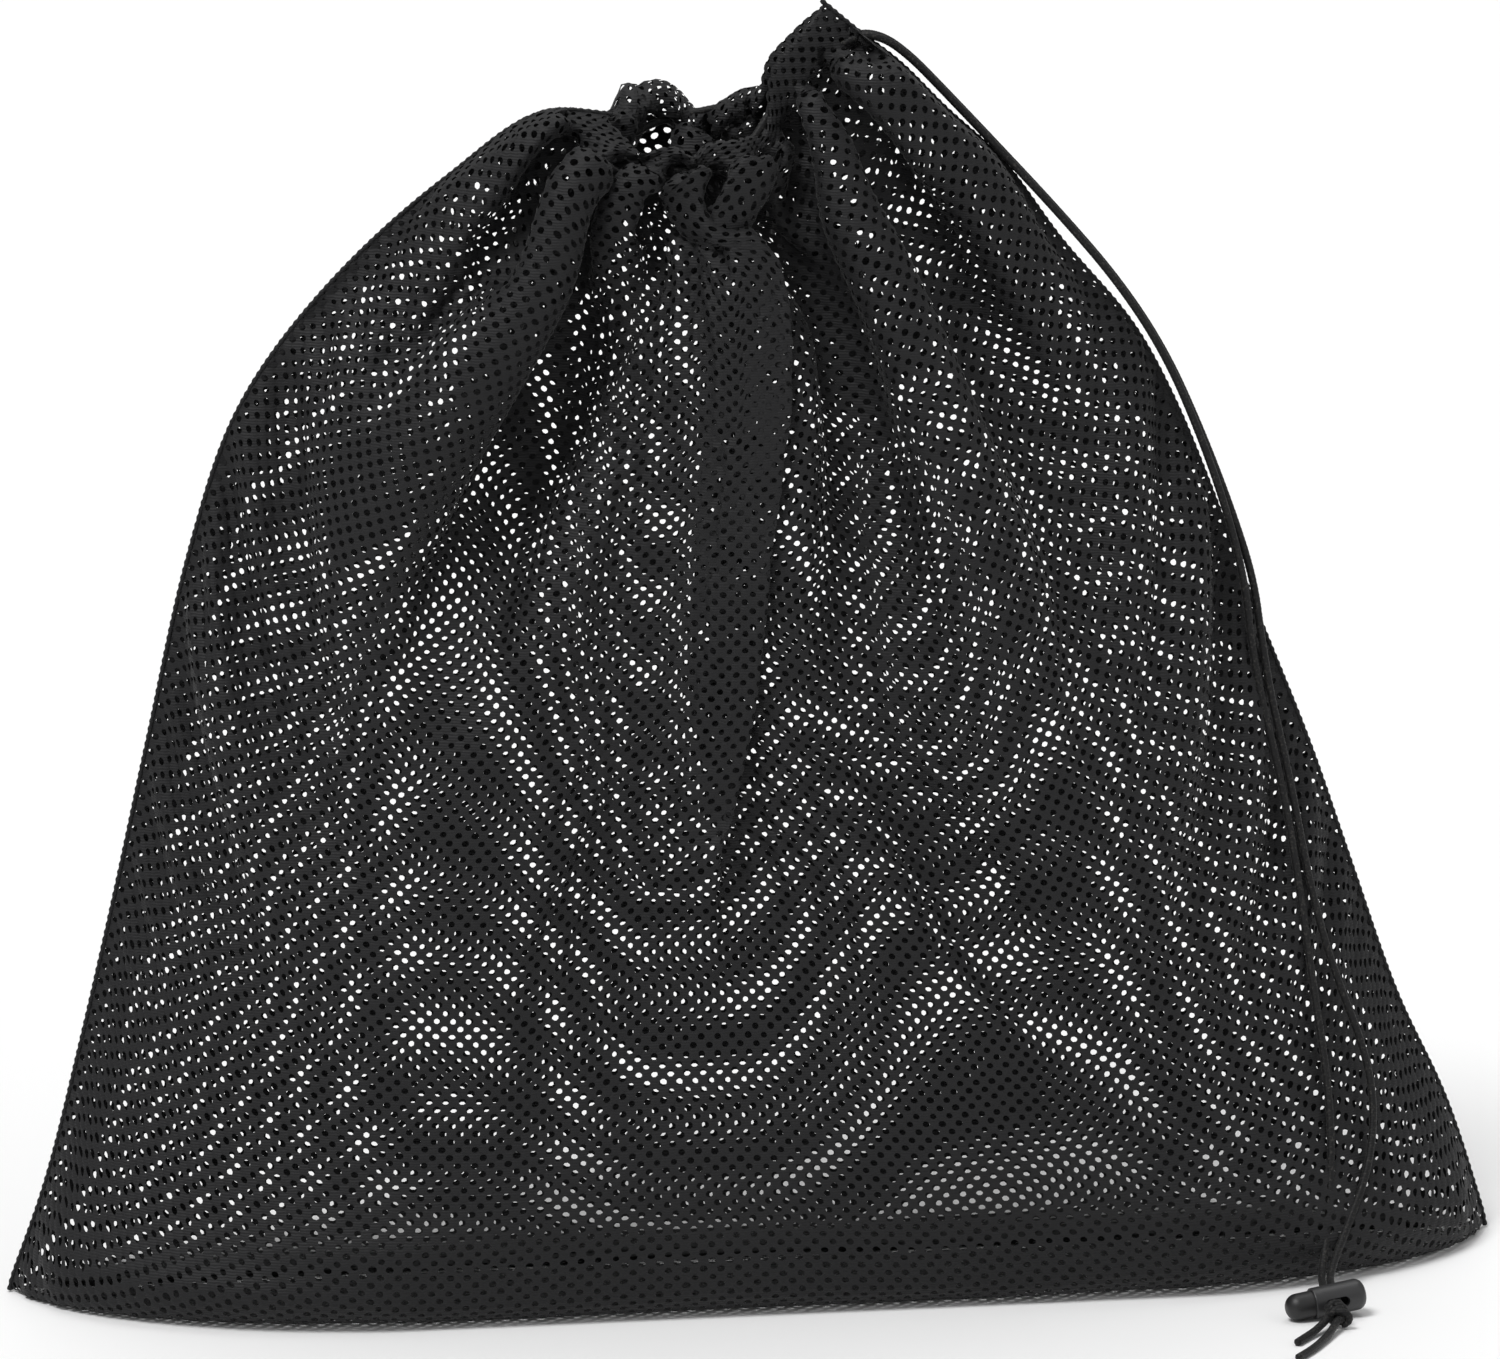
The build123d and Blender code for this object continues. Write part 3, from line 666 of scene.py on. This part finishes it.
def settle(front, back):
    """Lets both panels hang between seams, mouth and base, with their real width to fall into folds."""
    cloth = np.stack([resample(grid, SIM_ROWS, SIM_COLUMNS) for grid in (front, back)])
    keep_inside(cloth)
    first = cloth.copy()
    share_x, share_y = np.meshgrid(np.linspace(-1, 1, SIM_COLUMNS), np.linspace(0, 1, SIM_ROWS))
    held = np.maximum.reduce([
        np.broadcast_to(step(1 - 2.5 * CASING / CLOTH_HEIGHT, 1 - 1.0 * CASING / CLOTH_HEIGHT, share_y),
                        cloth.shape[:3]),
        1 - step(1.5, 30, cloth[..., 2]),
        np.broadcast_to(step(0.95, 0.992, np.abs(share_x)), cloth.shape[:3]),
    ])
    free = (1 - held)[..., None]
    wide = CLOTH_WIDTH * CLOTH_SLACK / (SIM_COLUMNS - 1)
    tall = np.linalg.norm(np.diff(cloth, axis=1), axis=-1, keepdims=True) * ROW_SLACK
    across = np.full((2, SIM_ROWS, SIM_COLUMNS - 1, 1), wide)
    tall_mid = (tall[:, :, 1:] + tall[:, :, :-1]) / 2
    slant = np.sqrt(tall_mid ** 2 + wide ** 2)
    row, column = np.arange(SIM_ROWS), np.arange(SIM_COLUMNS)

    def pull(rows_a, columns_a, rows_b, columns_b, rest, strength, push_only=False):
        a = np.ix_((0, 1), rows_a, columns_a)
        b = np.ix_((0, 1), rows_b, columns_b)
        start, end, wa, wb = cloth[a], cloth[b], free[a], free[b]
        gap = end - start
        size = np.linalg.norm(gap, axis=-1, keepdims=True) + 1e-9
        off = size - rest
        if push_only:
            off = np.minimum(off, 0)
        move = gap * (strength * off / size / (wa + wb + 1e-6))
        cloth[a] = start + move * wa
        cloth[b] = end - move * wb

    def pulls():
        for phase in (0, 1):
            c = column[phase:-1:2]
            pull(row, c, row, c + 1, across[:, :, c], 0.85)
            r = row[phase:-1:2]
            pull(r, column, r + 1, column, tall[:, r], 0.9)
            pull(r, column[:-1], r + 1, column[1:], slant[:, r], 0.12)
            pull(r, column[1:], r + 1, column[:-1], slant[:, r], 0.12)
        for reach, strength in BENDING:
            for phase in (0, reach):
                c = column[:-reach]
                c = c[(c % (2 * reach)) // reach == phase // reach]
                apart = first[:, :, c + reach] - first[:, :, c]
                laid = (apart[..., :1] < 0.25 * reach * wide) & (share_y[:, c, None] < 0.86)
                rest = np.where(laid, np.linalg.norm(apart, axis=-1, keepdims=True), reach * wide * 0.985)
                pull(row, c, row, c + reach, rest, strength, True)
                r = row[:-reach]
                r = r[(r % (2 * reach)) // reach == phase // reach]
                rest = np.linalg.norm(cloth[:, r + reach] - cloth[:, r], axis=-1, keepdims=True)
                rest = np.maximum(rest, tall[:, r] * reach * 0.985)
                pull(r, column, r + reach, column, rest, strength, True)

    middle, full = smooth(FRONT_PLEAT, first[0, ..., 2]).transpose(2, 0, 1)
    pressed = PRESSED * full * np.exp(-((first[0, ..., 0] - middle) / 1.3 / PLEAT_REACH) ** 4)
    before = cloth.copy()
    clear = np.abs(share_x) < 0.97
    for number in range(SIM_STEPS):
        speed = (cloth - before) * KEEP_SPEED
        before = cloth.copy()
        up = np.gradient(cloth, axis=1)
        side = np.gradient(cloth, axis=2)
        out = np.cross(side, up)
        out /= np.linalg.norm(out, axis=-1, keepdims=True) + 1e-9
        out[1] *= -1
        cloth = cloth + free * (speed + PUFF * out + np.array([0, 0, -SAG]))
        for _ in range(SIM_PASSES):
            pulls()
        cloth[0, ..., 1][clear] = np.minimum(cloth[0, ..., 1][clear], -CLEAR_HALF)
        cloth[1, ..., 1][clear] = np.maximum(cloth[1, ..., 1][clear], CLEAR_HALF)
        cloth[..., 2] = np.maximum(cloth[..., 2], FLOOR_GAP)
        unbounded = cloth.copy()
        keep_inside(cloth)
        cloth = unbounded + (cloth - unbounded) * free
        cloth[0] += (first[0] - cloth[0]) * pressed[..., None]
    keep_inside(cloth)
    return [resample(sheet, ROWS, COLUMNS) for sheet in cloth]


def normals_of(grid, side):
    up = np.gradient(grid, axis=0)
    across = np.gradient(grid, axis=1)
    normal = np.cross(across, up)
    size = np.linalg.norm(normal, axis=-1)[..., None]
    normal = normal / np.maximum(size, 1e-9)
    return normal * (1 if side == FRONT else -1)


def read_grid(grid, across, up):
    """Smooth positions on a grid at shares across and up it."""
    rows, columns = grid.shape[:2]
    fx = np.clip(across, 0, 1) * (columns - 1)
    fy = np.clip(up, 0, 1) * (rows - 1)
    ix = np.clip(fx.astype(int), 0, columns - 2)
    iy = np.clip(fy.astype(int), 0, rows - 2)
    a, b = (fx - ix)[..., None], (fy - iy)[..., None]
    return (
        grid[iy, ix] * (1 - a) * (1 - b) + grid[iy, ix + 1] * a * (1 - b)
        + grid[iy + 1, ix] * (1 - a) * b + grid[iy + 1, ix + 1] * a * b
    )


def net(name, grid, normals, width, height, material, relief=1.0, holes=1.0):
    """Perforated knit over a grid: staggered rows of holes with a crown of yarn between each four."""
    row_count = int(round(height / ROW_PITCH)) + 3
    column_count = int(round(width / HOLE_PITCH)) + 3
    j, i = np.meshgrid(np.arange(row_count), np.arange(column_count), indexing="ij")
    odd = j % 2
    s = (i - 1 + 0.5 * odd) * HOLE_PITCH + rng.normal(0, 0.09, i.shape)
    t = (j - 1) * ROW_PITCH + rng.normal(0, 0.07, i.shape)
    angle = np.radians(22.5 + 45 * np.arange(8))
    round_off = (np.abs(np.cos(angle)) ** HOLE_SQUARENESS + np.abs(np.sin(angle)) ** HOLE_SQUARENESS)
    reach = round_off ** (-1 / HOLE_SQUARENESS)
    size = holes * (1 + rng.normal(0, 0.05, (*i.shape, 1)))
    ps = np.concatenate([s[..., None] + size * HOLE_HALF_WIDTH * reach * np.cos(angle),
                         (s + HOLE_PITCH / 2)[..., None]], axis=-1)
    pt = np.concatenate([t[..., None] + size * HOLE_HALF_HEIGHT * reach * np.sin(angle),
                         t[..., None]], axis=-1)
    rim = np.where(np.abs(np.cos(angle)) > 0.7, 0.4, -1.0) * RIM_DOWN * np.ones(ps[..., :8].shape)
    lift = np.concatenate([rim, np.full((*i.shape, 1), RIDGE_UP)], axis=-1) * relief
    ps, pt, lift = (a.reshape(-1) for a in (ps, pt, lift))
    index = (j * column_count + i) * 9

    def hole(dj, di):
        """First vertex of each hole's neighbour, or -1 past the edge."""
        jj, ii = j + dj, i + di
        there = (jj >= 0) & (jj < row_count) & (ii >= 0) & (ii < column_count)
        return np.where(there, (jj * column_count + ii) * 9, -1)

    north_east = np.where(odd == 1, hole(1, 1), hole(1, 0))
    north_west = np.where(odd == 1, hole(1, 0), hole(1, -1))
    south_east = np.where(odd == 1, hole(-1, 1), hole(-1, 0))
    east = hole(0, 1)
    faces = []
    ok = north_east >= 0
    faces.append(np.stack([index + 0, north_east + 5, north_east + 4, index + 1], -1)[ok])
    ok = north_west >= 0
    faces.append(np.stack([index + 2, north_west + 7, north_west + 6, index + 3], -1)[ok])
    quads = np.concatenate(faces)
    ok = (north_east >= 0) & (south_east >= 0) & (east >= 0)
    ring = np.stack([index + 7, south_east + 2, south_east + 1, east + 4, east + 3, north_east + 6,
                     north_east + 5, index + 0], -1)[ok]
    centre = (index + 8)[ok]
    fans = np.concatenate([np.stack([centre, ring[:, k], ring[:, (k + 1) % 8]], -1) for k in range(8)])

    def inside(face):
        fs, ft = ps[face], pt[face]
        return ~((fs.max(-1) <= 0) | (fs.min(-1) >= width) | (ft.max(-1) <= 0) | (ft.min(-1) >= height))

    quads, fans = quads[inside(quads)], fans[inside(fans)]
    across, up = np.clip(ps, 0, width) / width, np.clip(pt, 0, height) / height
    used = np.zeros(len(ps), bool)
    used[quads] = True
    used[fans] = True
    renumber = np.cumsum(used) - 1
    across, up, lift = across[used], up[used], lift[used]
    points = read_grid(grid, across, up) + read_grid(normals, across, up) * lift[:, None]
    points[:, 2] = np.maximum(points[:, 2], 0.25)
    faces = renumber[quads].tolist() + renumber[fans].tolist()
    return mesh_object(name, points, faces, material)


def tidy_edges(piece):
    """Clears the slivers that the cut edge of a net leaves."""
    work = bmesh.new()
    work.from_mesh(piece.data)
    bmesh.ops.remove_doubles(work, verts=work.verts, dist=0.02 * MM)
    bmesh.ops.dissolve_degenerate(work, edges=work.edges, dist=0.01 * MM)
    work.to_mesh(piece.data)
    work.free()


def put_on_bag(piece, slot, *nodes):
    """The piece moves with the bag and stands for those CAD nodes; slot is not used."""
    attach(piece, "bag")
    if nodes:
        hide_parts(*nodes)
    return piece


def joined(name, pieces, material):
    """One object from several, which go."""
    points, faces = [], []
    for piece in pieces:
        start = len(points)
        points += [tuple(v.co / MM) for v in piece.data.vertices]
        faces += [[start + v for v in face.vertices] for face in piece.data.polygons]
        bpy.data.objects.remove(piece)
    return mesh_object(name, points, faces, material)


def hem_grid(outer, bare, side):
    """The casing: up over the cord, round the top fold and down inside to its stitches."""
    count = len(outer)
    rise = np.linspace(0, 1, count)
    wide = bare[..., 3].mean(axis=0)
    bare = bare[..., :3]
    out = outer - bare
    out /= np.linalg.norm(out, axis=-1, keepdims=True) + 1e-6
    ring_part = step(0.02, 0.10, wide) * (1 - step(0.70, 0.80, wide))
    pleat = np.zeros(outer.shape[1])
    for k, (waves, height, _) in enumerate(GATHERS):
        phase = 1.3 * k + (2.4 if side == FRONT else 0.4) + 1.1 * np.sin(4.0 * wide - k)
        pleat += 0.3 * height * (1 + np.cos(2 * np.pi * waves * 0.8 * wide + phase))
    edge = step(0, 0.03, wide) * (1 - step(0.97, 1, wide))
    depth = (CORD_ROOM + pleat * ring_part) * edge + 0.6
    room = np.sin(np.pi * np.clip(rise, 0, 1)) ** 0.55
    straight = bare[-1] - (1 - rise)[:, None, None] * np.array([0, 0, CASING])
    inner = bare + (straight - bare) * (0.85 * ring_part)[None, :, None] - out * depth[None, :, None]
    shut = outer - out * 1.1
    inner = shut + (inner - shut) * room[:, None, None]
    swell = outer + out * (0.5 * room)[:, None, None]
    grid = np.concatenate([swell, inner[::-1][1:]], axis=0)
    for _ in range(3):
        grid[1:-1] = grid[1:-1] * 0.5 + (grid[:-2] + grid[2:]) * 0.25
    return grid


def mean_width(grid):
    return np.linalg.norm(np.diff(grid, axis=1), axis=-1).sum(axis=1).mean()


def row_of_stitches(name, line, normals, spacing, length, radius):
    """Short rounds of thread laid on the cloth along a line."""
    run = lengths(line)
    pieces = []
    for start in np.arange(spacing, run[-1] - spacing, spacing):
        share = np.linspace(start, start + length, 5) / run[-1]
        path = along_line(np.concatenate([line, normals], axis=-1), share)
        lift = radius * np.array([-0.6, 0.5, 0.8, 0.5, -0.6])
        pieces.append(round_tube("stitch", path[:, :3] + path[:, 3:] * lift[:, None], radius, 6, THREAD))
    return joined(name, pieces, THREAD)


def zigzag(name, line, inward, width, spacing, radius):
    """Overlock thread: a zigzag over the raw edge of a strip."""
    count = int(lengths(line)[-1] / spacing)
    path = along_line(np.concatenate([line, inward], axis=-1), np.linspace(0, 1, count * 4))
    phase = np.arange(len(path)) * np.pi / 2
    at = path[:, :3] + path[:, 3:] * (width * (0.5 + 0.5 * np.sin(phase)))[:, None]
    at[:, 1] += 1.1 * np.cos(phase)
    return round_tube(name, at, radius, 5, THREAD)


def bar_tack(name, surface, side):
    """A short upright row of dense zigzag that keeps the cord's way out of the casing from tearing."""
    normals = normals_of(surface, side).reshape(-1, 3)
    surface = surface.reshape(-1, 3)
    rise = np.linspace(0, 1, 64)
    seen = np.stack([BAR_TACK[0] + 1.1 * np.where(np.arange(64) % 2, 1, -1),
                     BAR_TACK[1] + (rise - 0.5) * 8], axis=-1)
    near = ((surface[None, :, ::2] - seen[:, None]) ** 2).sum(-1).argmin(1)
    path = np.stack([seen[:, 0], surface[near, 1], seen[:, 1]], axis=-1) + normals[near] * 0.35
    return round_tube(name, path, 0.26, 6, THREAD)


(front_grid, front_bare), (back_grid, back_bare) = panel_grid(FRONT), panel_grid(BACK)
front_grid, back_grid = settle(front_grid, back_grid)
STITCH_ROW = int(round((1 - CASING / CLOTH_HEIGHT) * (ROWS - 1)))
stitch_lines, tacks, panels, hems, allowances = [], [], [], [], []
for side, label, grid, bare in (
    (FRONT, "front", front_grid, front_bare), (BACK, "back", back_grid, back_bare),
):
    grid[..., 2] = np.maximum(grid[..., 2], FLOOR_GAP)
    normals = normals_of(grid, side)
    panel = net(f"{label}_mesh_panel", grid[:STITCH_ROW + 1], normals[:STITCH_ROW + 1], CLOTH_WIDTH,
                CLOTH_HEIGHT - CASING, MESH_CLOTH)
    tidy_edges(panel)
    put_on_bag(panel, "mesh", f"{label}_panel")
    folded = hem_grid(grid[STITCH_ROW:], bare[STITCH_ROW:], side)
    hem = net(f"{label}_casing_hem", folded, normals_of(folded, side), mean_width(folded), 2 * CASING,
              HEM_CLOTH)
    tidy_edges(hem)
    put_on_bag(hem, "mesh_hem", f"casing_{label}")
    panels.append(panel)
    hems.append(hem)
    tacks.append(bar_tack("tack", folded[:len(grid) - STITCH_ROW], side))
    stitch_lines.append(row_of_stitches("stitch_row", grid[STITCH_ROW + 1], normals[STITCH_ROW + 1],
                                        3.3, 2.3, 0.3))
put_on_bag(joined("casing_stitching", stitch_lines, THREAD), "cord")
put_on_bag(joined("cord_exit_bar_tacks", tacks, THREAD), "cord")

# side seams: the edge, the allowances inside and their overlock thread
for label, column, inward in (("left", 0, 1.0), ("right", -1, -1.0)):
    edge = even_line(np.array(front_grid[:, column]), 0.7)
    welt = round_tube(f"{label}_seam_edge", edge, 0.95, 8, SEAM_CLOTH,
                      relief=lambda angle, run: 1 + 0.22 * np.sin(run * 2 * np.pi / ROW_PITCH) + 0 * angle)
    put_on_bag(welt, "mesh_seam")
    kept = front_grid[6:STITCH_ROW - 6, column]
    reach = np.linspace(0.8, ALLOWANCE, 12)[None, :, None] * np.array([inward, 0, 0.12])
    taper = step(0, 1, np.linspace(0, 14, len(kept)))[:, None, None]
    layers = []
    for layer in (-1, 1):
        wave = (0.5 * np.sin(np.arange(len(kept)) * 0.11 + layer)[:, None, None]
                * np.linspace(0, 1, 12)[None, :, None])
        sheet = kept[:, None] + reach * (0.35 + 0.65 * taper) + (wave + 0.75 * layer) * np.array([0, 1.0, 0])
        sheet[..., 2] = np.maximum(sheet[..., 2], 1.8)
        layers.append(net("layer", sheet, normals_of(sheet, layer), ALLOWANCE, lengths(kept)[-1], SEAM_CLOTH,
                          relief=0.6, holes=0.96))
    allowance = joined(f"{label}_seam_allowance", layers, SEAM_CLOTH)
    tidy_edges(allowance)
    put_on_bag(allowance, "mesh_seam", f"{label}_side_seam")
    allowances.append(allowance)
    raw = kept[8:] + reach[:, -1]
    towards_seam = np.tile([-inward, 0.0, 0.0], (len(raw), 1))
    thread = zigzag(f"{label}_overlock_thread", raw, towards_seam, 4.0, 3.2, 0.28)
    put_on_bag(thread, "cord")

# bottom seam: both allowances folded to the back on the base
shares = np.linspace(-0.93, 0.93, 60)
layers = []
for layer in (0, 1):
    sheet = np.stack([np.stack([BASE_HALF * shares, np.full(60, 0.4 + y), np.full(60, 1.9 + 1.1 * layer)],
                               axis=-1)
                      for y in np.linspace(0, ALLOWANCE, 8)])
    layers.append(net("layer", sheet, normals_of(sheet, BACK) * -1, 1.86 * BASE_HALF, ALLOWANCE, SEAM_CLOTH,
                      relief=0.6, holes=0.96))
bottom = joined("bottom_seam_allowance", layers, SEAM_CLOTH)
tidy_edges(bottom)
put_on_bag(bottom, "mesh_seam", "bottom_seam")

# draw cord
cords = {}
for cord_name, cord_route in (
    ("cord_strand_a", STRAND_A), ("cord_strand_b", STRAND_B), ("cord_in_casing", IN_CASING),
    ("cord_tail_a", TAIL_A), ("cord_tail_b", TAIL_B),
):
    line = even_line(route_line(cord_route), 0.38)
    made = round_tube(cord_name + "_braid", line, CORD / 2, 20, CORD_BRAID, relief=braid)
    cords[cord_name] = (put_on_bag(made, "cord", cord_name), line)
for letter, tail in (("a", "cord_tail_a"), ("b", "cord_tail_b")):
    made, line = cords[f"cord_strand_{letter}"]
